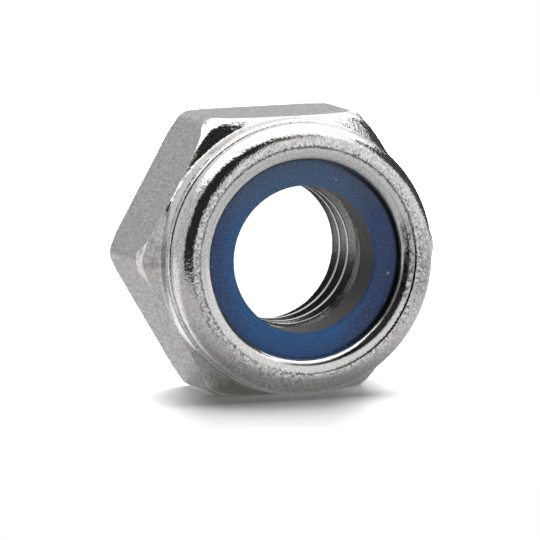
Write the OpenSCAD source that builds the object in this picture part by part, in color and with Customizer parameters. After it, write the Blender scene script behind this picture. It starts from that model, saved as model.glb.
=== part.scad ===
// Prevailing-torque hexagon nut with a nylon locking insert.
// The nut stands on one flat. Its thread axis lies along Y, and the insert faces -Y.
// The origin is on the thread axis, in the plane of the bearing face.

/* [Hexagon] */
// Width across the flats
across_flats = 17; // [16:0.1:20]
// How far the corner edges stop short of a sharp hexagon, measured outwards
corner_relief = 0.145; // [0.05:0.005:0.35]
// Height of a flat at its middle, from the bearing face
flat_h = 6.5; // [5.6:0.1:7]
// Slope of the shoulder that runs from the corners up to the neck, in degrees
shoulder_angle = 28; // [15:1:35]
// Radius between the corner edges and the shoulder
shoulder_round = 1; // [0.5:0.1:1.6]
// Width of the corner chamfer at the bearing face, measured outwards
base_chamfer = 0.45; // [0.2:0.05:0.8]
// Slope of the corner chamfer at the bearing face, in degrees
base_chamfer_angle = 40; // [20:1:50]

/* [Collar] */
// How far the neck lies inside the flats
neck_inset = 0.05; // [0.03:0.01:0.2]
// Height of the neck above the middle of a flat
neck_h = 1.15; // [0.8:0.05:1.4]
// Step from the neck in to the collar
collar_step = 0.15; // [0.08:0.01:0.3]
// Height of the bead between the neck and the collar
bead_h = 0.45; // [0.3:0.05:0.6]
// Depth of the fine grooves on both sides of the bead
bead_groove = 0.06; // [0.03:0.01:0.1]
// Height of the whole nut, from the bearing face to the rolled edge
total_h = 9.65; // [9.6:0.05:11]
// Radius of the rolled edge
roll_r = 1.1; // [0.8:0.05:1.2]
// Width of the nearly level ring between the rolled edge and the pressed land
brow_w = 0.25; // [0.1:0.05:0.4]
// Width of the land that the rolling tool pressed into the lip
land_w = 1; // [0.6:0.05:1.1]
// Drop of the land towards the lip's edge
land_drop = 0.1; // [0.05:0.01:0.2]
// Radius on the lip's edge
lip_edge_r = 0.15; // [0.05:0.01:0.2]
// How far the lip's end face is undercut
lip_undercut = 0.4; // [0.2:0.05:0.6]
// Thickness of the lip over the insert
lip_t = 0.7; // [0.7:0.05:1]
// Wall of the collar round the insert
collar_wall = 0.95; // [0.7:0.05:1.2]

/* [Thread bore] */
// Minor diameter of the thread
thread_minor_d = 8.6; // [8.3:0.05:8.8]
// Diameter of the countersink in the bearing face
countersink_d = 11; // [10:0.1:12]
// Included angle of the countersink, in degrees
countersink_angle = 60; // [55:1:120]
// Diameter of the chamfer under the insert
seat_chamfer_d = 9.8; // [9.2:0.1:10.4]
// Height of the insert's seat, from the bearing face
seat_h = 6.35; // [6:0.05:6.6]

/* [Nylon insert] */
// Bore of the insert, which the bolt cuts its own thread in
insert_bore_d = 9; // [8.9:0.05:9.6]
// Radius on the insert's outer edge, under the lip
insert_round = 1.6; // [1.2:0.1:1.8]
// Radius on the rim of the insert's bore
insert_rim_r = 0.12; // [0.05:0.01:0.25]
// Gap between the insert and the collar that holds it
insert_clearance = 0.02; // [0.01:0.01:0.05]

/* [Hidden] */
$fn = 96;

// Hexagon
flat_r = across_flats / 2;
corner_r = flat_r / cos(30) - corner_relief;
base_chamfer_h = base_chamfer * tan(base_chamfer_angle);

// The rounding between corner and shoulder touches both; its turn is 90 degrees less the slope
shoulder_turn = 90 - shoulder_angle;
shoulder_top_h = flat_h - (corner_r - flat_r) * tan(shoulder_angle);
shoulder_arc_r = corner_r - shoulder_round;
shoulder_arc_h = shoulder_top_h - shoulder_round * tan(shoulder_turn / 2);

// Neck, bead and collar
neck_r = flat_r - neck_inset;
neck_foot_h = flat_h + neck_inset * tan(shoulder_angle);
neck_top_h = flat_h + neck_h;
collar_r = neck_r - collar_step;
collar_foot_h = neck_top_h + bead_h;

// Rolled edge, pressed land and lip
roll_arc_r = collar_r - roll_r;
roll_arc_h = total_h - roll_r;
crest_r = roll_arc_r - brow_w;
lip_r = crest_r - land_w;
lip_edge_arc_r = lip_r + lip_edge_r;
lip_edge_arc_h = total_h - land_drop - lip_edge_r;

// Pocket and insert
pocket_r = collar_r - collar_wall;
insert_r = pocket_r - insert_clearance;
insert_top_h = total_h - lip_t - insert_clearance;
insert_arc_r = insert_r - insert_round;
insert_arc_h = insert_top_h - insert_round;
lip_under_r = lip_r + lip_undercut;

// Bore
minor_r = thread_minor_d / 2;
countersink_h = (countersink_d - thread_minor_d) / 2 / tan(countersink_angle / 2);
seat_chamfer_h = (seat_chamfer_d - thread_minor_d) / 2;

// Points along an arc round [r, h], from one angle to another
function arc(r, h, radius, from, to, steps = 8) = [
    for (i = [0:steps])
        let (a = from + (to - from) * i / steps)
        [r + radius * cos(a), h + radius * sin(a)]
];

// Points along a curve that leaves a towards b and ends at c
function bend(a, b, c, steps = 6) = [
    for (i = [0:steps])
        let (t = i / steps)
        a * pow(1 - t, 2) + b * 2 * t * (1 - t) + c * pow(t, 2)
];

// Angle on the hollow's arc where the lip's end face starts
function under_lip_angle(r) =
    acos(max(0, min(1, (r - insert_arc_r) / (insert_round + insert_clearance))));

// Outside of the nut as radius and height, from the countersink round to the lip's edge
function outer_profile() = concat(
    [
        [countersink_d / 2, 0],
        [corner_r - base_chamfer, 0],
        [corner_r, base_chamfer_h]
    ],
    arc(shoulder_arc_r, shoulder_arc_h, shoulder_round, 0, shoulder_turn),
    [
        [neck_r, neck_foot_h],
        [neck_r, neck_top_h]
    ],
    bend(
        [neck_r - bead_groove, neck_top_h + bead_groove],
        [neck_r, collar_foot_h - bead_groove],
        [collar_r - bead_groove, collar_foot_h - bead_groove]
    ),
    [[collar_r, collar_foot_h]],
    arc(roll_arc_r, roll_arc_h, roll_r, 0, 90),
    [[crest_r, total_h]],
    arc(lip_edge_arc_r, lip_edge_arc_h, lip_edge_r, 90 + atan(land_drop / land_w), 180, 4)
);

// Inside of the nut, from the lip's end face down to the bore
function inner_profile() = concat(
    arc(insert_arc_r, insert_arc_h, insert_round + insert_clearance,
        under_lip_angle(lip_under_r), 0),
    [
        [pocket_r, seat_h],
        [seat_chamfer_d / 2, seat_h],
        [minor_r, seat_h - seat_chamfer_h],
        [minor_r, countersink_h]
    ]
);

module along_axis() {
    rotate([90, 0, 0]) children();
}

module nut_body() {
    color([0.74, 0.74, 0.73])
    along_axis()
    intersection() {
        rotate_extrude() polygon(concat(outer_profile(), inner_profile()));
        cylinder(r = flat_r / cos(30), h = total_h, $fn = 6);
    }
}

module nylon_insert() {
    color([0.13, 0.29, 0.52])
    along_axis()
    rotate_extrude()
    polygon(concat(
        [[insert_bore_d / 2, seat_h], [insert_r, seat_h]],
        arc(insert_arc_r, insert_arc_h, insert_round, 0, 90),
        arc(insert_bore_d / 2 + insert_rim_r, insert_top_h - insert_rim_r, insert_rim_r, 90, 180, 4)
    ));
}

nut_body();
nylon_insert();
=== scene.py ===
# Prevailing-torque hexagon nut with a nylon locking insert, seen as in a plain studio.
# The thread axis lies along Y, the insert faces -Y, and the nut stands on one flat.
# Lengths are in millimetres, and h is the height above the bearing face.
import math
from collections import namedtuple

import bpy
from mathutils import Matrix, Vector


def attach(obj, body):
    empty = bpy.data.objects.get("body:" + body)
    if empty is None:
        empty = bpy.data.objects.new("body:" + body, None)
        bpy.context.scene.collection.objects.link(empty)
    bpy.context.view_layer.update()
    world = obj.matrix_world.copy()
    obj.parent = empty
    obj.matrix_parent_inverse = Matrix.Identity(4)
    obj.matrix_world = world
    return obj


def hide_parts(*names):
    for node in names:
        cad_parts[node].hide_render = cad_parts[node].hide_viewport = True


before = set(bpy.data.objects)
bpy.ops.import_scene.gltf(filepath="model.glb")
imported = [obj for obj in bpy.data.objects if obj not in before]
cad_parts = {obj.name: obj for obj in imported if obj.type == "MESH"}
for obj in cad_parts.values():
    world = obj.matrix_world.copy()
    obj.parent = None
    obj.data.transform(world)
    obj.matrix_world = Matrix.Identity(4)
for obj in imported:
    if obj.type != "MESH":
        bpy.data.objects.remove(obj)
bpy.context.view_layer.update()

MM = 0.001
TURN = 2 * math.pi

# ---------------------------------------------------------------- sizes

# Hexagon, its sectors in degrees
SIDES = 6
SECTOR = 360 / SIDES
FLAT_R = 8.5
CORNER_R = 9.669
CORNER_BLEND = 0.12
FLAT_H = 6.5
SHOULDER_SLOPE = math.radians(28)
SHOULDER_ROUND = 1.0
SHOULDER_SPREAD = 2
EDGE_BLEND = 0.9
BASE_CHAMFER = 0.45
BASE_CHAMFER_SLOPE = math.radians(40)
BASE_CHAMFER_BLEND = 0.1
BASE_ROUND = 0.06

# Neck, bead, collar and rolled edge
NECK_R = 8.45
NECK_BLEND = 0.12
NECK_TOP = 7.65
COLLAR_R = 8.3
COLLAR_FOOT = 8.1
GROOVE = 0.06
TOTAL_H = 9.65
ROLL_R = 1.1
CREST_R = 6.95

# Pressed land and lip: a small step down from the crest, then a slope that steepens to the
# lip's edge. Each pair is a distance outwards from that edge and the slope there, in degrees.
LIP_R = 6.06
LAND_STEP = 0.035
LAND_SLOPES = ((0.87, 4), (0.6, 6), (0.48, 11), (0.38, 20), (0.29, 28), (0.2, 37), (0.11, 47),
               (0.03, 62), (0.0, 84))
LAND_ROWS = 4
LIP_UNDERCUT = 0.4
LIP_BACK = 0.05
LIP_THICK = 0.12

# Pocket and bore
POCKET_R = 7.35
POCKET_ROUND = 1.62
SEAT_H = 6.35
SEAT_CHAMFER_R = 4.9
MOUTH_R = 5.5
MOUTH_SLOPE = 0.7

# Thread
MINOR_R = 4.3
ROOT_R = 5.0
PITCH = 1.5
CREST_AT = 3.08
CREST_HALF = 0.17
CREST_SOFT = 0.06
FLANK_SLOPE = math.tan(math.radians(60))

# Insert
BORE_R = 4.5
INSERT_R = 7.33
INSERT_TOP = 8.93
INSERT_ROUND = 1.6
RIM_R = 0.12

# Floor
FLOOR_Z = -8.5
FLOOR_RADIUS = 112.0
FLOOR_BACK = 60.0

# Camera: the focal length and sensor are in camera millimetres, the clip distances in metres
LENS = 781.5
SENSOR = 36
CLIP = (0.01, 20)
DISTANCE = 715.79
AZIMUTH = math.radians(-18.9)
ELEVATION = math.radians(7.03)
ROLL = math.radians(-0.893)
AIM = Vector((0.0, -5.198, 0.0))
SLIDE = (0.8795, 1.0573)

# Edges of the mesh that bend more than this stay sharp
SHARP_ANGLE = math.radians(42)


# ---------------------------------------------------------------- curves and forms

def smooth_min(a, b, k):
    """The smaller of two values, blended over a width of k."""
    return min(a, b) - max(k - abs(a - b), 0.0) ** 2 / (4 * k)


def smooth_max(a, b, k):
    return -smooth_min(-a, -b, k)


def arc(r, h, radius, start, end, steps):
    """Points along an arc round (r, h), angles in degrees."""
    turns = [math.radians(start + (end - start) * i / steps) for i in range(steps + 1)]
    return [(r + radius * math.cos(t), h + radius * math.sin(t)) for t in turns]


def bend(a, b, c, steps):
    """Points along a curve that leaves a towards b and ends at c."""
    return [
        tuple(p * (1 - t) ** 2 + q * 2 * t * (1 - t) + s * t * t for p, q, s in zip(a, b, c))
        for t in (i / steps for i in range(steps + 1))
    ]


def direction(azimuth, elevation):
    """Unit vector; azimuth 0 looks along -Y and grows towards +X."""
    return Vector((math.sin(azimuth) * math.cos(elevation),
                   -math.cos(azimuth) * math.cos(elevation), math.sin(elevation)))


class Form:
    """The vertices, faces and material numbers of a piece round the thread axis."""

    def __init__(self):
        self.verts, self.faces, self.kinds = [], [], []

    def vertex(self, r, h, turn):
        self.verts.append((r * math.cos(turn), -h, r * math.sin(turn)))
        return len(self.verts) - 1

    def ring(self, points, columns):
        """One vertex for each angle in columns, each point being (r, h)."""
        return [self.vertex(r, h, turn) for (r, h), turn in zip(points, columns)]

    def face(self, corners, kind):
        """Corners that coincide turn a quad into a triangle, or leave it out."""
        corners = list(dict.fromkeys(corners))
        if len(corners) > 2:
            self.faces.append(corners)
            self.kinds.append(kind)

    def bridge(self, below, above, kind):
        """Joins two rings of vertices."""
        for i in range(len(below)):
            j = (i + 1) % len(below)
            self.face((below[i], below[j], above[j], above[i]), kind)


def build_object(name, verts, faces, kinds, materials):
    """A smooth mesh from millimetres, with its sharp edges marked."""
    mesh = bpy.data.meshes.new(name)
    mesh.from_pydata([Vector(v) * MM for v in verts], [], faces)
    for m in materials:
        mesh.materials.append(m)
    mesh.polygons.foreach_set("material_index", kinds)
    mesh.polygons.foreach_set("use_smooth", [True] * len(faces))
    mesh.update()
    mesh.set_sharp_from_angle(angle=SHARP_ANGLE)
    obj = bpy.data.objects.new(name, mesh)
    bpy.context.scene.collection.objects.link(obj)
    return obj


# ---------------------------------------------------------------- nut body

# Numbers of the body's materials, in the order that main gives them
FLATS, SHOULDER, COLLAR, LAND, BORE, BASE = range(6)

SHOULDER_TURN = math.radians(90) - SHOULDER_SLOPE
SHOULDER_TOP = FLAT_H - (CORNER_R - FLAT_R) * math.tan(SHOULDER_SLOPE)
SHOULDER_ARC_R = CORNER_R - SHOULDER_ROUND
SHOULDER_ARC_H = SHOULDER_TOP - SHOULDER_ROUND * math.tan(SHOULDER_TURN / 2)
SHOULDER_ARC_END = SHOULDER_ARC_H + SHOULDER_ROUND * math.sin(SHOULDER_TURN)
NECK_FOOT = FLAT_H + (FLAT_R - NECK_R) * math.tan(SHOULDER_SLOPE)
NECK_START = NECK_FOOT + NECK_BLEND * math.tan(SHOULDER_SLOPE)

# Columns of vertices: degrees from a corner, and how many parts the rest of a side has
CORNER_ANGLES = (0.0, 0.35, 0.7, 1.05, 1.4, 1.75, 2.1, 2.5, 3.0, 3.7, 4.6)
SIDE_PARTS = 34

# Rows of vertices: shares of the way across the bearing face, heights up the base's chamfer,
# then evenly up the flat, close under its upper edge, and up the shoulder
BASE_SHARES = (0.0, 0.03, 0.35, 0.7, 0.94, 1.0)
BASE_ROUND_ROWS = 5
CHAMFER_ROWS = (0.16, 0.22, 0.28, 0.33, 0.38, 0.44, 0.52, 0.64, 0.8)
FLAT_ROWS = 8
UNDER_EDGE = 0.12
EDGE_ROWS = (-0.05, -0.02)
SHOULDER_ROWS = 24
SHOULDER_START = 0.4
SHOULDER_END = 0.2
EDGE_LOWEST = 4.0
LEAST_RISE = 0.001
NECK_NEAR = 0.0005
HALVINGS = 28


def corner_columns():
    """Angles round the axis, close together at the six corners."""
    widest = CORNER_ANGLES[-1]
    near = [-a for a in CORNER_ANGLES[:0:-1]] + list(CORNER_ANGLES)
    wide = [widest + (SECTOR - 2 * widest) * i / SIDE_PARTS for i in range(1, SIDE_PARTS)]
    return [math.radians(SECTOR * k + a) for k in range(SIDES) for a in near + wide]


def hexagon_r(turn):
    """Distance from the axis to the rounded hexagon."""
    sector = math.radians(SECTOR)
    from_corner = abs((turn + sector / 2) % sector - sector / 2)
    return smooth_min(FLAT_R / math.cos(sector / 2 - from_corner), CORNER_R, CORNER_BLEND)


def shoulder_r(h):
    """Radius of the turned shoulder at height h; under its arc it only has to clear the flats."""
    if h >= SHOULDER_ARC_END:
        return FLAT_R + (FLAT_H - h) / math.tan(SHOULDER_SLOPE)
    if h >= SHOULDER_ARC_H:
        return SHOULDER_ARC_R + math.sqrt(SHOULDER_ROUND ** 2 - (h - SHOULDER_ARC_H) ** 2)
    return CORNER_R + (SHOULDER_ARC_H - h) * SHOULDER_SPREAD


def height_where(radius, target, low, high):
    """Height between low and high at which a falling radius passes the target."""
    for _ in range(HALVINGS):
        middle = (low + high) / 2
        if radius(middle) > target:
            low = middle
        else:
            high = middle
    return (low + high) / 2


def side_column(turn):
    """Points and kinds up one column, from the countersink's edge to the neck's foot."""
    hexa = hexagon_r(turn)

    def top(h):
        # The blend takes a quarter of its width off two equal values, so the flat gets it back
        return smooth_max(smooth_min(hexa + EDGE_BLEND / 4, shoulder_r(h), EDGE_BLEND),
                          NECK_R, NECK_BLEND)

    def wall(h):
        chamfer = CORNER_R - BASE_CHAMFER + h / math.tan(BASE_CHAMFER_SLOPE)
        return min(smooth_min(hexa, chamfer, BASE_CHAMFER_BLEND), top(h))

    foot_r = wall(BASE_ROUND) - BASE_ROUND
    points = [(MOUTH_R + share * (foot_r - MOUTH_R), 0.0, BASE) for share in BASE_SHARES]
    for r, h in arc(foot_r, BASE_ROUND, BASE_ROUND, -90, 0, BASE_ROUND_ROWS)[1:]:
        points.append((r, h, FLATS))

    edge = height_where(top, hexa, EDGE_LOWEST, NECK_START)
    start = CHAMFER_ROWS[-1]
    heights = list(CHAMFER_ROWS)
    heights += [start + (edge - UNDER_EDGE - start) * i / FLAT_ROWS
                for i in range(1, FLAT_ROWS + 1)]
    heights += [edge + d for d in EDGE_ROWS]
    points += [(wall(h), h, FLATS) for h in heights]

    # The shoulder's rows are spaced by radius, closer together at the edge and at the neck
    for i in range(1, SHOULDER_ROWS + 1):
        part = (i - SHOULDER_START) / (SHOULDER_ROWS + SHOULDER_END)
        share = 0.5 - 0.5 * math.cos(math.pi * part)
        r = hexa + (NECK_R + NECK_NEAR - hexa) * share
        h = height_where(top, r, edge, NECK_START)
        points.append((r, max(h, points[-1][1] + LEAST_RISE), SHOULDER))
    points.append((NECK_R, max(NECK_START, points[-1][1] + 2 * LEAST_RISE), SHOULDER))
    return points


# Rows up the neck, and steps along the bead and the roll
NECK_ROWS = (0.1, 0.35, 0.65)
NECK_TOP_ROWS = (-0.05, 0.0)
BEAD_STEPS = 8
COLLAR_ROWS = (0.0, 0.06)
ROLL_STEPS = 26
CREST_ROWS = ((0.06, 0.0), (0.02, -0.004))


def collar_profile():
    """Neck, grooves, bead, collar, rolled edge, land and lip, as radius, height and kind."""
    points = [(NECK_R, NECK_START + d) for d in NECK_ROWS]
    points += [(NECK_R, NECK_TOP + d) for d in NECK_TOP_ROWS]
    points += bend((NECK_R - GROOVE, NECK_TOP + GROOVE), (NECK_R, COLLAR_FOOT - GROOVE),
                   (COLLAR_R - GROOVE, COLLAR_FOOT - GROOVE), BEAD_STEPS)
    points += [(COLLAR_R, COLLAR_FOOT + d) for d in COLLAR_ROWS]
    points += arc(COLLAR_R - ROLL_R, TOTAL_H - ROLL_R, ROLL_R, 0, 90, ROLL_STEPS)
    points += [(CREST_R + out, TOTAL_H + up) for out, up in CREST_ROWS]
    return [(r, h, COLLAR) for r, h in points] + [(r, h, LAND) for r, h in land_points()]


def land_points():
    """From the step below the crest in to the lip's edge."""
    h = TOTAL_H - LAND_STEP
    points = [(LIP_R + LAND_SLOPES[0][0], h)]
    for (s0, d0), (s1, d1) in zip(LAND_SLOPES, LAND_SLOPES[1:]):
        step = (s0 - s1) / LAND_ROWS
        for i in range(LAND_ROWS):
            h -= step * math.tan(math.radians(d0 + (d1 - d0) * (i + 0.5) / LAND_ROWS))
            points.append((LIP_R + s0 - step * (i + 1), h))
    return points


POCKET_STEPS = 10
POCKET_ROWS = (7.0, 6.6, SEAT_H)
SEAT_ROWS = (6.6, 5.8)


def pocket_profile():
    """Under the lip, down the hollow and in along the seat."""
    centre_r, centre_h = POCKET_R - POCKET_ROUND, INSERT_TOP - INSERT_ROUND
    under = math.degrees(math.acos((LIP_R + LIP_UNDERCUT - centre_r) / POCKET_ROUND))
    lip_edge_h = land_points()[-1][1]
    rows = [(LIP_R + LIP_BACK, lip_edge_h - LIP_THICK, LAND)]
    rows += [(r, h, LAND) for r, h in arc(centre_r, centre_h, POCKET_ROUND, under, 0,
                                          POCKET_STEPS)]
    rows += [(POCKET_R, h, BORE) for h in POCKET_ROWS]
    rows += [(r, SEAT_H, BORE) for r in SEAT_ROWS]
    return rows


def thread_r(lift):
    """Radius of the thread's form, lift being the height above a crest's middle."""
    u = abs((lift + PITCH / 2) % PITCH - PITCH / 2)
    flank = MINOR_R + (u - CREST_HALF) * FLANK_SLOPE
    return min(smooth_max(MINOR_R, flank, CREST_SOFT), ROOT_R)


def bore_r(turn, h):
    """The thread, cut off by the countersink and by the chamfer under the seat."""
    form = thread_r(h - CREST_AT - PITCH * turn / TURN)
    mouth = MOUTH_R - h * MOUTH_SLOPE
    seat = SEAT_CHAMFER_R - (SEAT_H - h)
    return max(form, mouth, seat)


# Rows of one pitch, closest where the form bends, and how far they climb
THREAD_ROWS = (0.0, 0.09, 0.14, 0.17, 0.2, 0.24, 0.33, 0.45, 0.57, 0.63, 0.75,
               0.87, 0.93, 1.05, 1.17, 1.26, 1.3, 1.33, 1.36, 1.41)
THREAD_TURNS = 7
THREAD_START = CREST_AT - 4 * PITCH
THREAD_END_GAP = 0.004


def add_thread(form, columns, mouth, seat):
    """Rows that climb one pitch in a turn, from the countersink's mouth to the seat."""
    per = len(THREAD_ROWS)
    rows = THREAD_TURNS * per

    def vertex(j, c):
        h = THREAD_START + PITCH * (j // per) + THREAD_ROWS[j % per] + PITCH * columns[c] / TURN
        if h <= THREAD_END_GAP:
            return mouth[c]
        if h >= SEAT_H - THREAD_END_GAP:
            return seat[c]
        return form.vertex(bore_r(columns[c], h), h, columns[c])

    grid = [[vertex(j, c) for c in range(len(columns))] for j in range(rows + 1)]

    def at(j, c):
        """A full turn on, a row meets the one that lies a pitch higher."""
        if c < len(columns):
            return grid[j][c]
        return grid[j + per][0] if j + per <= rows else seat[0]

    for j in range(rows):
        for c in range(len(columns)):
            form.face((at(j + 1, c), at(j + 1, c + 1), at(j, c + 1), at(j, c)), BORE)


def make_nut_body(materials):
    form = Form()
    columns = corner_columns()
    sides = [side_column(turn) for turn in columns]
    rings = [form.ring([side[i][:2] for side in sides], columns) for i in range(len(sides[0]))]
    kinds = [kind for _, _, kind in sides[0]]
    for r, h, kind in collar_profile() + pocket_profile():
        rings.append(form.ring([(r, h)] * len(columns), columns))
        kinds.append(kind)
    for below, above, kind in zip(rings, rings[1:], kinds[1:]):
        form.bridge(below, above, kind)
    seat = form.ring([(bore_r(turn, SEAT_H), SEAT_H) for turn in columns], columns)
    form.bridge(rings[-1], seat, BORE)
    add_thread(form, columns, rings[0], seat)
    return build_object("nut_body_form", form.verts, form.faces, form.kinds, materials)


# ---------------------------------------------------------------- nylon insert

# Numbers of the insert's materials, and its rows of vertices from the bore round to the foot
RING, WALL = range(2)
INSERT_COLUMNS = 240
WALL_ROWS = (0.0, 0.5, 1.0, 1.5, 2.0, 2.4)
RIM_STEPS = 6
TOP_ROWS = (4.75, 5.0, 5.35)
ROUND_STEPS = 22
OUTSIDE_ROWS = (7.0, SEAT_H)
FOOT_ROWS = (6.4, 5.4)


def make_insert(materials):
    """The insert's ring; the wall of its bore has a material of its own."""
    centre_r, centre_h = INSERT_R - INSERT_ROUND, INSERT_TOP - INSERT_ROUND
    wall = [(BORE_R, SEAT_H + d) for d in WALL_ROWS]
    ring = arc(BORE_R + RIM_R, INSERT_TOP - RIM_R, RIM_R, 180, 90, RIM_STEPS)
    ring += [(r, INSERT_TOP) for r in TOP_ROWS]
    ring += arc(centre_r, centre_h, INSERT_ROUND, 90, 0, ROUND_STEPS)
    ring += [(INSERT_R, h) for h in OUTSIDE_ROWS] + [(r, SEAT_H) for r in FOOT_ROWS]
    kinds = [WALL] * len(wall) + [RING] * len(ring)

    form = Form()
    columns = [TURN * i / INSERT_COLUMNS for i in range(INSERT_COLUMNS)]
    rings = [form.ring([point] * len(columns), columns) for point in wall + ring]
    for below, above, kind in zip(rings[1:] + rings[:1], rings, kinds):
        form.bridge(below, above, kind)
    return build_object("nylon_insert_form", form.verts, form.faces, form.kinds, materials)


# ---------------------------------------------------------------- material helpers

Place = namedtuple("Place", "mm x y z r h")


def add_node(tree, kind, inputs=None, **settings):
    """Adds a node; an input is a value or the socket that feeds it."""
    n = tree.nodes.new(kind)
    for key, value in settings.items():
        setattr(n, key, value)
    for key, value in (inputs or {}).items():
        if isinstance(value, bpy.types.NodeSocket):
            tree.links.new(value, n.inputs[key])
        else:
            n.inputs[key].default_value = value
    return n


def calc(tree, operation, a, b=0.0, c=0.0):
    n = add_node(tree, "ShaderNodeMath", {0: a, 1: b, 2: c}, operation=operation)
    return n.outputs[0]


def product(tree, first, *others):
    for other in others:
        first = calc(tree, "MULTIPLY", first, other)
    return first


def less(tree, a, b):
    return calc(tree, "SUBTRACT", a, b)


def step_up(tree, value, low, high):
    """0 at low, 1 at high, smooth between; it falls where high is the lower of the two."""
    n = add_node(tree, "ShaderNodeMapRange", {"Value": value, "From Min": low, "From Max": high},
                 interpolation_type="SMOOTHSTEP")
    return n.outputs["Result"]


def between(tree, value, low, high, soft):
    """1 between low and high, with soft edges."""
    return product(tree, step_up(tree, value, low - soft, low + soft),
                   less(tree, 1.0, step_up(tree, value, high - soft, high + soft)))


def paint(tree, factor, base, value):
    """Mixes a value over what is there."""
    n = add_node(tree, "ShaderNodeMix", {0: factor, 2: base, 3: value}, data_type="FLOAT")
    return n.outputs[0]


def blend_colour(tree, factor, a, b):
    n = add_node(tree, "ShaderNodeMix", {0: factor, 6: a, 7: b}, data_type="RGBA")
    return n.outputs[2]


def stain(tree, colour, mask, share, over):
    """Covers a share of the colour where the mask is 1."""
    return blend_colour(tree, calc(tree, "MULTIPLY", mask, share), colour, over)


def shade(colour, factor):
    return tuple(min(1.0, c * factor) for c in colour[:3]) + (1.0,)


def noise(tree, where, scale, detail=2.0, rough=0.5, twist=0.0):
    n = add_node(tree, "ShaderNodeTexNoise", {"Vector": where, "Scale": scale, "Detail": detail,
                                              "Roughness": rough, "Distortion": twist})
    return n.outputs["Fac"]


def scaled(tree, vector, factor):
    n = add_node(tree, "ShaderNodeVectorMath", {0: vector, 3: factor}, operation="SCALE")
    return n.outputs[0]


def stretched(tree, vector, factors):
    n = add_node(tree, "ShaderNodeVectorMath", {0: vector, 1: factors}, operation="MULTIPLY")
    return n.outputs[0]


def split(tree, vector):
    return add_node(tree, "ShaderNodeSeparateXYZ", {0: vector}).outputs[:3]


def places(tree):
    """Object coordinates in millimetres, radius from the axis and height."""
    coords = add_node(tree, "ShaderNodeTexCoord")
    mm = scaled(tree, coords.outputs["Object"], 1 / MM)
    x, y, z = split(tree, mm)
    r = calc(tree, "SQRT", calc(tree, "ADD", product(tree, x, x), product(tree, z, z)))
    return Place(mm, x, y, z, r, product(tree, y, -1.0))


def bump(tree, height, depth, normal=None):
    """A normal bent by a height pattern whose depth is in millimetres."""
    inputs = {"Height": height, "Distance": depth * MM, "Strength": 1.0}
    if normal is not None:
        inputs["Normal"] = normal
    return add_node(tree, "ShaderNodeBump", inputs).outputs["Normal"]


def new_material(name):
    m = bpy.data.materials.new(name)
    m.use_nodes = True
    m.node_tree.nodes.clear()
    return m


def finish_material(m, inputs):
    shader = add_node(m.node_tree, "ShaderNodeBsdfPrincipled", inputs)
    out = add_node(m.node_tree, "ShaderNodeOutputMaterial")
    m.node_tree.links.new(shader.outputs[0], out.inputs["Surface"])
    return m


# ---------------------------------------------------------------- zinc plating

# In this section a pattern is a noise's scale, detail, roughness and twist, a spread is the
# two levels of a pattern between which it acts, and the other ranges are x, z or radius.
ZINC = (0.5, 0.5, 0.497, 1.0)
ZINC_WARM = (0.51, 0.49, 0.465, 1.0)
ZINC_FLATS = (0.415, 0.418, 0.42, 1.0)
ZINC_FLATS_WARM = (0.42, 0.415, 0.412, 1.0)
ZINC_THREAD = (0.3, 0.3, 0.3, 1.0)
ZINC_THREAD_WARM = (0.33, 0.3, 0.265, 1.0)
ZINC_BASE = (0.45, 0.45, 0.45, 1.0)
# Dark pits, and the colour of the painted shade and painted dark reflections on the land and the
# roll
DARK_PITS_AND_SHADE = (0.06, 0.058, 0.056, 1.0)
BROWN = (0.3, 0.26, 0.25, 1.0)
OLIVE = (0.23, 0.23, 0.19, 1.0)

WAVE_PATTERN = (1.1, 2.0)
PEEL_PATTERN = (6.0, 2.0, 0.55)
GRAIN_PATTERN = (7.0, 2.0, 0.6)
GRAIN_SPREAD = (0.3, 0.7)
GRAIN_ROUGHNESS = 0.08
PATCH_PATTERN = (0.45, 3.0)
PATCH_SPREAD = (0.42, 0.7)
PATCH_SHARE = 0.5

# The thin clear coat on the plating shows faint pink and green where it is thickest
PINK_PATTERN = (0.8, 3.0)
PINK_SPREAD = (0.5, 0.62)
PINK = (1.25, 0.8, 0.85)
GREEN_PATTERN = (1.3, 3.0, 0.6)
GREEN_SPREAD = (0.54, 0.66)
GREEN = (0.8, 1.15, 0.95)
COAT_SHARE = 0.06

# A brushed flat seen along itself keeps its grain and the tints of the coat
BRUSHED_TINT = 0.55
BRUSHED_STRETCH = (1.0, 0.2, 1.0)
BRUSHED_PATTERN = (7.2, 2.0, 0.6)
BRUSHED_SPREAD = (0.34, 0.66)
BRUSHED_DARK = 0.74
BRUSHED_PALE = 1.21
BRUSHED_PINK = (1.1, 0.9, 0.93)
BRUSHED_PINK_SHARE = 0.3
BRUSHED_GREEN = (0.92, 1.01, 0.96)
BRUSHED_GREEN_SHARE = 0.36

# The corner on the left is knocked a little out of true, more so above the middle
KNOCK_X = (-6.8, -8.4)
KNOCK_Z = (-3.0, 4.4)
KNOCK_SOFT = 0.8
KNOCK_LEAN = 0.085
KNOCK_LEAN_ABOVE = 0.12

# Brown at that corner, and olive painted shade low on the shoulder
BROWN_X = (-7.9, -8.5)
BROWN_Z = (-0.7, 1.6)
BROWN_SOFT = 0.4
BROWN_PATTERN = (2.6, 4.0, 0.7)
BROWN_SPREAD = (0.46, 0.6)
BROWN_SHARE = 0.6
OLIVE_Z = (-6.6, -7.6)
OLIVE_X = (-5.5, 2.0)
OLIVE_SOFT = 1.2
OLIVE_SPREAD = (0.3, 0.55)

# Painted dark reflections, speckled, on the right side, between two radii that each material
# gives
PAINTED_DARK_X = (4.0, 5.5)
PAINTED_DARK_Z = (-2.7, 2.0)
PAINTED_DARK_SOFT = 0.6
PAINTED_DARK_RIM_SOFT = 0.12
PAINTED_DARK_PATTERN = (2.8, 3.0, 0.6, 1.8)
PAINTED_DARK_SPREAD = (0.6, 0.4)
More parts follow.
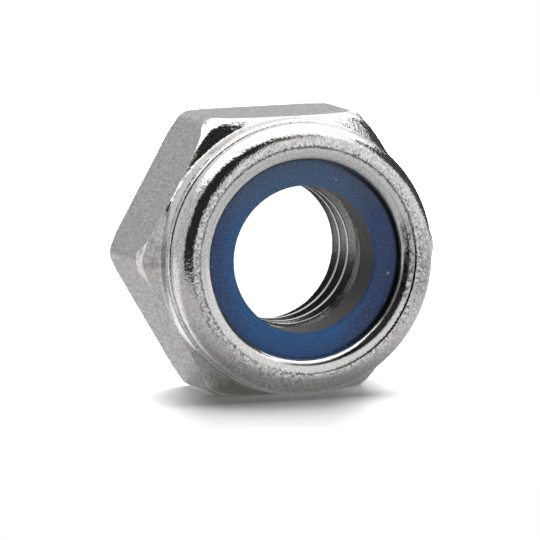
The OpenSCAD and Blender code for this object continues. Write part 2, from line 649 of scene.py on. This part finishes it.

# Painted shade darkens the outer part of the land from the middle upwards, and a little of the
# roll
SHADED_LAND_R = (6.42, 6.65)
SHADED_LAND_Z = (-3.0, 0.5)
SHADED_LAND_END = (6.9, 7.05)
SHADED_ROLL = 0.3
SHADED_LAND_SHARE = 0.24

# Painted shade also dims the highlight beside the lip, on the right and on along the bottom
LIP_SHADE_RIGHT_R = (6.26, 6.14)
LIP_SHADE_RIGHT_Z = (-4.3, -0.9)
LIP_SHADE_RIGHT_SOFT = 0.5
LIP_SHADE_RIGHT_X = (3.6, 4.6)
LIP_SHADE_LOW_R = (6.3, 6.45)
LIP_SHADE_LOW_RIM_SOFT = 0.05
LIP_SHADE_LOW_Z = (-4.6, -5.6)
LIP_SHADE_LOW_X = (-1.7, 3.6)
LIP_SHADE_LOW_SOFT = 0.8
LIP_SHADE_SHARE = 0.85

# A broken dark line runs along the crest, with pits outside it and dark spots at both sides
LINE_R = CREST_R - 0.02
LINE_PATTERN = (5.0, 4.0, 0.75)
LINE_WANDER = 0.7
LINE_EDGE = (0.015, 0.09)
BROKEN_PATTERN = (1.6, 3.0)
BROKEN_SPREAD = (0.38, 0.55)
BROKEN_LEAST = 0.4
LINE_SHARE = 0.9
PIT_R = (6.85, 7.25)
PIT_PATTERN = (5.5, 3.0, 0.65)
PIT_SPREAD = (0.53, 0.62)
SIDE_SPOT_R = (7.0, 7.42)
SIDE_SPOT_ASIDE = (4.4, 6.4)
SIDE_SPOT_PATTERN = (6.5, 3.0, 0.7)
SIDE_SPOT_SPREAD = (0.52, 0.6)
PIT_SOFT = 0.12
PIT_SHARE = 0.75


def brushed_edge(t, place, pink, green):
    drawn = stretched(t, place.mm, BRUSHED_STRETCH)
    drawn = step_up(t, noise(t, drawn, *BRUSHED_PATTERN), *BRUSHED_SPREAD)
    edge = blend_colour(t, drawn, shade((BRUSHED_TINT,) * 3, BRUSHED_DARK),
                        shade((BRUSHED_TINT,) * 3, BRUSHED_PALE))
    edge = stain(t, edge, pink, BRUSHED_PINK_SHARE, shade(BRUSHED_PINK, BRUSHED_TINT))
    return stain(t, edge, green, BRUSHED_GREEN_SHARE, shade(BRUSHED_GREEN, BRUSHED_TINT))


def knocked_corner(t, place):
    spot = product(t, step_up(t, place.x, *KNOCK_X), between(t, place.z, *KNOCK_Z, KNOCK_SOFT))
    lean = calc(t, "MULTIPLY_ADD", calc(t, "MAXIMUM", place.z, 0.0), KNOCK_LEAN_ABOVE, KNOCK_LEAN)
    return bump(t, product(t, lean, place.z, spot), 1.0)


def shoulder_stain_and_shade(t, place, patches, colour):
    brown = product(t, step_up(t, place.x, *BROWN_X), between(t, place.z, *BROWN_Z, BROWN_SOFT),
                    step_up(t, noise(t, place.mm, *BROWN_PATTERN), *BROWN_SPREAD))
    colour = stain(t, colour, brown, BROWN_SHARE, BROWN)
    # Painted shade: olive patches low on the shoulder
    olive = product(t, step_up(t, place.z, *OLIVE_Z), between(t, place.x, *OLIVE_X, OLIVE_SOFT),
                    step_up(t, patches, *OLIVE_SPREAD))
    return blend_colour(t, olive, colour, OLIVE)


# Painted shade and painted dark reflections on the land and the roll
def painted_shade_marks(t, place, colour, painted_dark_r, painted_dark_share):
    spot = product(t, step_up(t, place.x, *PAINTED_DARK_X), between(t, place.z, *PAINTED_DARK_Z, PAINTED_DARK_SOFT),
                   between(t, place.r, *painted_dark_r, PAINTED_DARK_RIM_SOFT))
    painted_dark = product(t, spot, step_up(t, noise(t, place.mm, *PAINTED_DARK_PATTERN), *PAINTED_DARK_SPREAD))
    colour = stain(t, colour, painted_dark, painted_dark_share, DARK_PITS_AND_SHADE)
    # Painted shade on the outer land from the middle upwards
    darkened = product(t, step_up(t, place.r, *SHADED_LAND_R), step_up(t, place.z, *SHADED_LAND_Z),
                   paint(t, step_up(t, place.r, *SHADED_LAND_END), 1.0, SHADED_ROLL))
    colour = stain(t, colour, darkened, SHADED_LAND_SHARE, DARK_PITS_AND_SHADE)
    # Painted shade dimming the highlight beside the lip
    right = product(t, step_up(t, place.r, *LIP_SHADE_RIGHT_R),
                    between(t, place.z, *LIP_SHADE_RIGHT_Z, LIP_SHADE_RIGHT_SOFT),
                    step_up(t, place.x, *LIP_SHADE_RIGHT_X))
    low = product(t, between(t, place.r, *LIP_SHADE_LOW_R, LIP_SHADE_LOW_RIM_SOFT),
                  step_up(t, place.z, *LIP_SHADE_LOW_Z),
                  between(t, place.x, *LIP_SHADE_LOW_X, LIP_SHADE_LOW_SOFT))
    return stain(t, colour, calc(t, "MAXIMUM", right, low), LIP_SHADE_SHARE, DARK_PITS_AND_SHADE)


def crest_marks(t, place, colour):
    pits = product(t, between(t, place.r, *PIT_R, PIT_SOFT),
                   step_up(t, noise(t, place.mm, *PIT_PATTERN), *PIT_SPREAD))
    darkened = product(t, between(t, place.r, *SIDE_SPOT_R, PIT_SOFT),
                   step_up(t, calc(t, "ABSOLUTE", place.x), *SIDE_SPOT_ASIDE),
                   step_up(t, noise(t, place.mm, *SIDE_SPOT_PATTERN), *SIDE_SPOT_SPREAD))
    colour = stain(t, colour, calc(t, "MAXIMUM", pits, darkened), PIT_SHARE, DARK_PITS_AND_SHADE)
    wander = calc(t, "MULTIPLY_ADD", noise(t, place.mm, *LINE_PATTERN), LINE_WANDER,
                  -LINE_WANDER / 2)
    off = calc(t, "ABSOLUTE", less(t, calc(t, "ADD", place.r, wander), LINE_R))
    line = less(t, 1.0, step_up(t, off, *LINE_EDGE))
    broken = calc(t, "MULTIPLY_ADD", step_up(t, noise(t, place.mm, *BROKEN_PATTERN),
                                             *BROKEN_SPREAD), 1 - BROKEN_LEAST, BROKEN_LEAST)
    return stain(t, colour, product(t, line, broken), LINE_SHARE, DARK_PITS_AND_SHADE)


def zinc(name, tone=ZINC, warm=ZINC_WARM, rough=0.12, waves=0.0, peel=0.0, grain=0.0,
         speckle=0.25, coat=False, brushed=False, knocked=False, painted_dark=None, crest=False):
    """Bright zinc plating; waves, orange peel and grain are depths of bump in millimetres.

    A brushed surface shows the tints of the coat, so it has to be coated too.
    """
    m = new_material(name)
    t = m.node_tree
    place = places(t)
    patches = noise(t, place.mm, *PATCH_PATTERN)
    fine = noise(t, place.mm, *GRAIN_PATTERN)
    colour = blend_colour(t, step_up(t, fine, *GRAIN_SPREAD), shade(tone, 1 - speckle),
                          shade(tone, 1 + speckle))
    colour = stain(t, colour, step_up(t, patches, *PATCH_SPREAD), PATCH_SHARE, warm)
    normal = None
    edge = (1.0, 1.0, 1.0, 1.0)
    if coat:
        pink = step_up(t, noise(t, place.mm, *PINK_PATTERN), *PINK_SPREAD)
        green = step_up(t, noise(t, place.mm, *GREEN_PATTERN), *GREEN_SPREAD)
        colour = stain(t, colour, pink, COAT_SHARE, shade(PINK, tone[0]))
        colour = stain(t, colour, green, COAT_SHARE, shade(GREEN, tone[0]))
        if brushed:
            edge = brushed_edge(t, place, pink, green)
    if knocked:
        normal = knocked_corner(t, place)
        colour = shoulder_stain_and_shade(t, place, patches, colour)
    if waves:
        normal = bump(t, noise(t, place.mm, *WAVE_PATTERN), waves, normal)
    if peel:
        normal = bump(t, noise(t, place.mm, *PEEL_PATTERN), peel, normal)
    normal = bump(t, fine, grain, normal)
    # Painted shade and painted dark reflections
    if painted_dark:
        colour = painted_shade_marks(t, place, colour, *painted_dark)
    if crest:
        colour = crest_marks(t, place, colour)
    roughness = calc(t, "MULTIPLY_ADD", fine, GRAIN_ROUGHNESS, rough - GRAIN_ROUGHNESS / 2)
    return finish_material(m, {"Base Color": colour, "Metallic": 1.0, "Roughness": roughness,
                               "Specular Tint": edge, "Normal": normal})


# ---------------------------------------------------------------- nylon

NYLON_INNER = (0.045, 0.29, 0.8, 1.0)
NYLON_OUTER = (0.07, 0.105, 0.35, 1.0)
NYLON_SHADE = (0.012, 0.04, 0.14, 1.0)
NYLON_PAINTED_SHADOW = (0.004, 0.004, 0.006, 1.0)
NYLON_PALE = (0.17, 0.34, 0.68, 1.0)
NYLON_PAINTED_LIGHT = (0.07, 0.37, 1.0, 1.0)
NYLON_PAINTED_SHEEN = (0.25, 0.25, 0.13, 1.0)
NYLON_FLECK = (0.55, 0.6, 0.68, 1.0)
# The bore's wall, painted dark as shade, and its painted highlights
NYLON_WALL_SHADED = (0.02, 0.02, 0.022, 1.0)
NYLON_WALL_HIGHLIGHT = (0.12, 0.102, 0.08, 1.0)
NYLON_GRIT = (0.07, 0.07, 0.07, 1.0)
NYLON_IOR = 1.53

# Painted light: the blue is brightest at the bore and gives way to a darker outer one, painted
# shade towards the lip, between these radii, which shift with the grain and with three ranges of
# x, x and z
NYLON_TURNS = (4.7, 6.1)
MOTTLE_PATTERN = (11.0, 3.0, 0.6)
MOTTLE_SHIFT = 0.5
RIGHT_X, RIGHT_SHIFT = (1.0, 5.5), 1.2
LEFT_X, LEFT_SHIFT = (-3.5, -5.5), 0.35
TOP_Z, TOP_SHIFT = (2.5, 5.0), -0.35

# Grain, and painted light at the bottom, a painted sheen at the top and painted shade on the
# right
SHADE_SPREAD, SHADE_SHARE = (0.6, 0.36), 0.85
WEAVE_PATTERN, WEAVE_SPREAD, WEAVE_SHARE = (13.0, 1.0, 0.5), (0.44, 0.62), 0.7
BOTTOM_LIGHT_Z, BOTTOM_LIGHT_X, BOTTOM_LIGHT_SHARE = (-1.0, -5.5), (4.0, 1.0), 0.32
TOP_SHEEN_Z, TOP_SHEEN_SHARE = (1.5, 4.5), 0.3
RIGHT_SHADE_X, RIGHT_SHADE_SHARE = (2.5, 5.5), 0.35

# Painted shadow: black on the nylon close under the lip, on the right side only
LIP_SHADOW_R = (5.78, 5.98)
LIP_SHADOW_X = (1.0, 4.5)

# Pale flecks at wandering places
WANDER_SCALE = 4.0
WANDER = 0.25
FLECK_SCALE = 0.8
FLECK_EDGE = (0.045, 0.08)

# Roughness and bump of the ring
NYLON_ROUGH, NYLON_ROUGH_SPREAD, NYLON_SPECULAR = 0.35, 0.2, 0.42
MOTTLE_DEPTH = 0.012
DUST_PATTERN, DUST_DEPTH = (14.0, 2.0), 0.006

# Traces of the turning tool run round the bore as bumps; the wall is painted dark as shade,
# with pale warm streaks along the traces as painted highlights, and the ring's blue shows at its
# rim
TURNED_STRETCH = (0.35, 3.5, 0.35)
TURNED_PATTERN, TURNED_SPREAD, TURNED_DEPTH = (1.0, 3.0), (0.36, 0.64), 0.03
GRIT_PATTERN, GRIT_SPREAD, GRIT_SHARE = (8.0, 2.0), (0.5, 0.7), 0.35
BLUE_RIM_H, BLUE_RIM_SHARE = (INSERT_TOP - 0.5, INSERT_TOP - 0.1), 0.6
WALL_ROUGH, WALL_ROUGH_SPREAD, WALL_SPECULAR = 0.5, 0.2, 0.2


def flecks(t, mm):
    wander = add_node(t, "ShaderNodeTexNoise", {"Vector": mm, "Scale": WANDER_SCALE})
    where = add_node(t, "ShaderNodeVectorMath",
                     {0: mm, 1: scaled(t, wander.outputs["Color"], WANDER)}, operation="ADD")
    cells = add_node(t, "ShaderNodeTexVoronoi",
                     {"Vector": where.outputs[0], "Scale": FLECK_SCALE})
    return less(t, 1.0, step_up(t, cells.outputs["Distance"], *FLECK_EDGE))


def nylon(name):
    m = new_material(name)
    t = m.node_tree
    place = places(t)
    mottle = noise(t, place.mm, *MOTTLE_PATTERN)
    shifted = calc(t, "MULTIPLY_ADD", mottle, MOTTLE_SHIFT, less(t, place.r, MOTTLE_SHIFT / 2))
    for value, span, shift in ((place.x, RIGHT_X, RIGHT_SHIFT), (place.x, LEFT_X, LEFT_SHIFT),
                               (place.z, TOP_Z, TOP_SHIFT)):
        shifted = calc(t, "MULTIPLY_ADD", step_up(t, value, *span), shift, shifted)
    # Painted light and shade: brighter blue at the bore, darker towards the lip
    colour = blend_colour(t, step_up(t, shifted, *NYLON_TURNS), NYLON_INNER, NYLON_OUTER)
    colour = stain(t, colour, step_up(t, mottle, *SHADE_SPREAD), SHADE_SHARE, NYLON_SHADE)
    weave = noise(t, place.mm, *WEAVE_PATTERN)
    colour = stain(t, colour, step_up(t, weave, *WEAVE_SPREAD), WEAVE_SHARE, NYLON_PALE)
    # Painted light at the bottom, a painted sheen at the top and painted shade on the right
    clear = product(t, step_up(t, place.z, *BOTTOM_LIGHT_Z), step_up(t, place.x, *BOTTOM_LIGHT_X))
    colour = stain(t, colour, clear, BOTTOM_LIGHT_SHARE, NYLON_PAINTED_LIGHT)
    colour = stain(t, colour, step_up(t, place.z, *TOP_SHEEN_Z), TOP_SHEEN_SHARE, NYLON_PAINTED_SHEEN)
    colour = stain(t, colour, step_up(t, place.x, *RIGHT_SHADE_X), RIGHT_SHADE_SHARE, NYLON_SHADE)
    # Painted shadow close under the lip
    lip_shadow = product(t, step_up(t, place.r, *LIP_SHADOW_R), step_up(t, place.x, *LIP_SHADOW_X))
    colour = blend_colour(t, lip_shadow, colour, NYLON_PAINTED_SHADOW)
    colour = blend_colour(t, flecks(t, place.mm), colour, NYLON_FLECK)
    normal = bump(t, noise(t, place.mm, *DUST_PATTERN), DUST_DEPTH,
                  bump(t, mottle, MOTTLE_DEPTH))
    return finish_material(m, {
        "Base Color": colour, "IOR": NYLON_IOR, "Specular IOR Level": NYLON_SPECULAR,
        "Roughness": calc(t, "MULTIPLY_ADD", mottle, NYLON_ROUGH_SPREAD, NYLON_ROUGH),
        "Normal": normal})


def nylon_bore(name):
    m = new_material(name)
    t = m.node_tree
    place = places(t)
    streaks = noise(t, stretched(t, place.mm, TURNED_STRETCH), *TURNED_PATTERN)
    # Painted shade on the wall, with painted highlights along the streaks
    colour = blend_colour(t, step_up(t, streaks, *TURNED_SPREAD), NYLON_WALL_SHADED, NYLON_WALL_HIGHLIGHT)
    grit = step_up(t, noise(t, place.mm, *GRIT_PATTERN), *GRIT_SPREAD)
    colour = stain(t, colour, grit, GRIT_SHARE, NYLON_GRIT)
    colour = stain(t, colour, step_up(t, place.h, *BLUE_RIM_H), BLUE_RIM_SHARE, NYLON_OUTER)
    return finish_material(m, {
        "Base Color": colour, "IOR": NYLON_IOR, "Specular IOR Level": WALL_SPECULAR,
        "Roughness": calc(t, "MULTIPLY_ADD", streaks, WALL_ROUGH_SPREAD, WALL_ROUGH),
        "Normal": bump(t, streaks, TURNED_DEPTH)})


# ---------------------------------------------------------------- studio

# Angles of the studio are in degrees: azimuth 0 looks along -Y and grows towards +X
WHITE = (1.0, 1.0, 1.0, 1.0)
WALL_LEFT = 0.88
WALL_RIGHT = 1.3
WALL_RIGHT_AZ = (-40, 20)
WALL_BACK = 1.0
WALL_BACK_AZ = (140, 172)

# The ceiling starts at an elevation that differs in front, on the right and behind
CEILING = 2.4
CEILING_FRONT = 37.0
CEILING_RIGHT = 29.0
CEILING_RIGHT_AZ = (35, 95)
CEILING_RIGHT_SOFT = 10
CEILING_BACK = 27.0
CEILING_BACK_AZ = (120, 160)
CEILING_SOFT = 5

# Darker things under the ceiling
Patch = namedtuple("Patch", "az az_soft el el_soft level")
PATCHES = (
    Patch((0, 22), 5, (28, 50), 4, 0.14),
    Patch((20, 32), 5, (31, 44), 4, 0.5),
    Patch((-104, -50), 5, (37, 43), 2, 0.12),
)

# The dark room round the camera; its right edge leans with the elevation
ROOM_DARK = 0.035
ROOM_EL = (-16, 60)
ROOM_EL_SOFT = 3
ROOM_LEFT = (-66, -58)
ROOM_RIGHT = 2.0
ROOM_RIGHT_LEAN = 0.15
ROOM_RIGHT_SOFT = 4

# A dark leaning oval panel on the right, cut off towards the front
PANEL_DARK = 0.1
PANEL_AZ = 104.0
PANEL_EL = 18.0
PANEL_HALF_WIDTH = 54.0
PANEL_HALF_HEIGHT = 17.0
PANEL_LEAN = 0.36
PANEL_EDGE = (0.8, 1.2)
PANEL_CUT = (57, 60)

# What diffuse surfaces get instead: a dim light from the sides and less from above
FILL_SIDE = 0.26
FILL_TOP = 0.025
FILL_EL = (4, 22)


def studio_ceiling(t, az, el, level):
    away = calc(t, "ABSOLUTE", az)
    level = paint(t, step_up(t, away, *WALL_BACK_AZ), level, WALL_BACK)
    start = paint(t, step_up(t, away, *CEILING_BACK_AZ), CEILING_FRONT, CEILING_BACK)
    start = paint(t, between(t, az, *CEILING_RIGHT_AZ, CEILING_RIGHT_SOFT), start, CEILING_RIGHT)
    return paint(t, step_up(t, less(t, el, start), -CEILING_SOFT, CEILING_SOFT), level, CEILING)


def studio_room(t, az, el, level):
    right = calc(t, "MULTIPLY_ADD", el, ROOM_RIGHT_LEAN, ROOM_RIGHT)
    past = step_up(t, less(t, az, right), -ROOM_RIGHT_SOFT, ROOM_RIGHT_SOFT)
    room = product(t, between(t, el, *ROOM_EL, ROOM_EL_SOFT), step_up(t, az, *ROOM_LEFT),
                   less(t, 1.0, past))
    return paint(t, room, level, ROOM_DARK)


def studio_panel(t, az, el, level):
    off = less(t, az, PANEL_AZ)
    across = calc(t, "DIVIDE", off, PANEL_HALF_WIDTH)
    up = calc(t, "DIVIDE", calc(t, "MULTIPLY_ADD", off, PANEL_LEAN, less(t, el, PANEL_EL)),
              PANEL_HALF_HEIGHT)
    ring = calc(t, "ADD", product(t, across, across), product(t, up, up))
    panel = product(t, less(t, 1.0, step_up(t, ring, *PANEL_EDGE)), step_up(t, az, *PANEL_CUT))
    return paint(t, panel, level, PANEL_DARK)


def make_world():
    """Pale walls, a bright soft ceiling, the dark room round the camera and a dark panel.

    Only reflections see this. Diffuse surfaces get the fill, and the camera sees white.
    """
    world = bpy.data.worlds.new("studio")
    bpy.context.scene.world = world
    world.use_nodes = True
    t = world.node_tree
    t.nodes.clear()
    coords = add_node(t, "ShaderNodeTexCoord")
    x, y, z = split(t, coords.outputs["Generated"])
    az = product(t, calc(t, "ARCTAN2", x, product(t, y, -1.0)), math.degrees(1))
    el = product(t, calc(t, "ARCSINE", z), math.degrees(1))

    level = paint(t, step_up(t, az, *WALL_RIGHT_AZ), WALL_LEFT, WALL_RIGHT)
    level = studio_ceiling(t, az, el, level)
    for patch in PATCHES:
        mask = product(t, between(t, az, *patch.az, patch.az_soft),
                       between(t, el, *patch.el, patch.el_soft))
        level = paint(t, mask, level, patch.level)
    level = studio_room(t, az, el, level)
    level = studio_panel(t, az, el, level)

    path = add_node(t, "ShaderNodeLightPath")
    fill = paint(t, step_up(t, el, *FILL_EL), FILL_SIDE, FILL_TOP)
    level = paint(t, path.outputs["Is Glossy Ray"], fill, level)
    seen = calc(t, "MAXIMUM", path.outputs["Is Camera Ray"], path.outputs["Is Transmission Ray"])
    level = paint(t, seen, level, 1.0)
    light = add_node(t, "ShaderNodeBackground", {"Color": WHITE, "Strength": level})
    out = add_node(t, "ShaderNodeOutputWorld")
    t.links.new(light.outputs[0], out.inputs["Surface"])


FLOOR_PARTS = 128
FLOOR_PALE = (0.55, 0.55, 0.55, 1.0)
FLOOR_ROUGH = 0.5

# The floor's colour for camera rays, and how many times brighter it is away from the shadow, as
# painted light
# that trims the shadow: beside it as seen by the camera, less so well in front of it, and near
# the floor's front edge
FLOOR_WHITE = (1.35, 1.35, 1.35)
FLOOR_WHITER = 2.3
SHADOW_CENTRE = 0.7
BESIDE = (3.2, 7.8)
IN_FRONT = (10.0, 16.0)
IN_FRONT_SHARE = 0.4
FRONT_EDGE = (20.5, 33.0)

# Painted light the floor gives off for reflections only: its level under the nut, on the right
# and on the far left
FLOOR_SHEEN = 0.25
FLOOR_SIDE_SHEEN = 0.42
SIDE_X = (4.0, 12.0)
FLOOR_FAR_SHEEN = 0.9
FAR_X = (8.0, -4.0)
FAR_Y = (-9.0, 3.0)


def floor_white(t, place):
    """The floor's colour for camera rays, painted lighter round the shadow, with lengths along
    the camera's own directions.
    """
    across = calc(t, "ADD", product(t, place.x, math.cos(AZIMUTH)),
                  product(t, place.y, math.sin(AZIMUTH)))
    toward = less(t, product(t, place.x, math.sin(AZIMUTH)),
                  product(t, place.y, math.cos(AZIMUTH)))
    beside = step_up(t, calc(t, "ABSOLUTE", less(t, across, SHADOW_CENTRE)), *BESIDE)
    whiter = product(t, beside, paint(t, step_up(t, toward, *IN_FRONT), 1.0, IN_FRONT_SHARE))
    whiter = calc(t, "MAXIMUM", whiter, step_up(t, toward, *FRONT_EDGE))
    return scaled(t, FLOOR_WHITE, paint(t, whiter, 1.0, FLOOR_WHITER))


# Painted light: the glow of the floor that only reflections see
def floor_sheen(t, place):
    near = paint(t, step_up(t, place.x, *SIDE_X), FLOOR_SHEEN, FLOOR_SIDE_SHEEN)
    far = product(t, step_up(t, place.y, *FAR_Y), step_up(t, place.x, *FAR_X))
    return paint(t, far, near, FLOOR_FAR_SHEEN)


def make_floor():
    """A disc of pale board under the nut, its near edge close in front."""
    n = FLOOR_PARTS
    verts = [(0.0, FLOOR_BACK, FLOOR_Z)]
    for r in (FLOOR_RADIUS / 2, FLOOR_RADIUS):
        verts += [(r * math.cos(TURN * i / n), FLOOR_BACK + r * math.sin(TURN * i / n), FLOOR_Z)
                  for i in range(n)]
    faces = [[0, 1 + i, 1 + (i + 1) % n] for i in range(n)]
    faces += [[1 + i, 1 + n + i, 1 + n + (i + 1) % n, 1 + (i + 1) % n] for i in range(n)]

    m = new_material("floor_board")
    t = m.node_tree
    place = places(t)
    path = add_node(t, "ShaderNodeLightPath")
    colour = blend_colour(t, path.outputs["Is Camera Ray"], FLOOR_PALE, floor_white(t, place))
    board = add_node(t, "ShaderNodeBsdfDiffuse", {"Color": colour, "Roughness": FLOOR_ROUGH})
    # Painted light: the floor glows for reflections only
    strength = product(t, path.outputs["Is Glossy Ray"], floor_sheen(t, place))
    sheen = add_node(t, "ShaderNodeEmission", {"Strength": strength})
    shader = add_node(t, "ShaderNodeAddShader", {0: board.outputs[0], 1: sheen.outputs[0]})
    out = add_node(t, "ShaderNodeOutputMaterial")
    t.links.new(shader.outputs[0], out.inputs["Surface"])
    floor = build_object("floor", verts, faces, [0] * len(faces), [m])


# The lamp's sizes and distance are in metres, its power in watts
LAMP_POWER = 1.9
LAMP_WIDTH = 0.5
LAMP_HEIGHT = 0.26
LAMP_DISTANCE = 0.36
LAMP_AZIMUTH = math.radians(158)
LAMP_ELEVATION = math.radians(69)


def make_lamp():
    """A soft lamp above and behind the nut, which lays its shadow on the floor in front."""
    data = bpy.data.lights.new("top_lamp", "AREA")
    data.shape = "RECTANGLE"
    data.size = LAMP_WIDTH
    data.size_y = LAMP_HEIGHT
    data.energy = LAMP_POWER
    lamp = bpy.data.objects.new("top_lamp", data)
    bpy.context.scene.collection.objects.link(lamp)
    away = direction(LAMP_AZIMUTH, LAMP_ELEVATION)
    lamp.location = away * LAMP_DISTANCE
    lamp.rotation_mode = "QUATERNION"
    lamp.rotation_quaternion = away.to_track_quat("Z", "Y")
    lamp.visible_glossy = False
    lamp.visible_camera = False


# ---------------------------------------------------------------- camera

def make_camera():
    back = direction(AZIMUTH, ELEVATION)
    right = Vector((math.cos(AZIMUTH), math.sin(AZIMUTH), 0.0))
    up = back.cross(right)
    side = math.cos(ROLL) * right + math.sin(ROLL) * up
    top = -math.sin(ROLL) * right + math.cos(ROLL) * up
    eye = (AIM - SLIDE[0] * side - SLIDE[1] * top + DISTANCE * back) * MM
    data = bpy.data.cameras.new("camera")
    data.lens = LENS
    data.sensor_width = SENSOR
    data.clip_start, data.clip_end = CLIP
    camera = bpy.data.objects.new("camera", data)
    bpy.context.scene.collection.objects.link(camera)
    camera.matrix_world = Matrix((
        (side.x, top.x, back.x, eye.x),
        (side.y, top.y, back.y, eye.y),
        (side.z, top.z, back.z, eye.z),
        (0, 0, 0, 1)))
    bpy.context.scene.camera = camera


# ---------------------------------------------------------------- the scene

def main():
    zinc_materials = [
        zinc("zinc_flats", tone=ZINC_FLATS, warm=ZINC_FLATS_WARM, rough=0.3, waves=0.02,
             grain=0.008, speckle=0.3, coat=True, brushed=True),
        zinc("zinc_shoulder", waves=0.03, peel=0.02, grain=0.004, speckle=0.28, coat=True,
             knocked=True),
        # The collar and the land get painted shade and painted dark reflections
        zinc("zinc_collar", waves=0.03, peel=0.017, grain=0.005, speckle=0.3, coat=True,
             painted_dark=((7.15, 7.95), 0.45), crest=True),
        zinc("zinc_land", rough=0.16, waves=0.02, peel=0.004, grain=0.002, speckle=0.16,
             painted_dark=((6.25, 6.85), 0.9), crest=True),
        zinc("zinc_thread", tone=ZINC_THREAD, warm=ZINC_THREAD_WARM, rough=0.28, peel=0.009,
             grain=0.003),
        zinc("zinc_base", tone=ZINC_BASE, rough=0.3, waves=0.02, grain=0.004),
    ]
    body = make_nut_body(zinc_materials)
    insert = make_insert([nylon("nylon_blue"), nylon_bore("nylon_bore")])
    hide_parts("nut_body")
    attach(body, "root")
    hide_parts("nylon_insert")
    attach(insert, "root")
    make_floor()
    make_world()
    make_lamp()
    make_camera()
    bpy.context.scene.view_settings.view_transform = "Standard"


main()
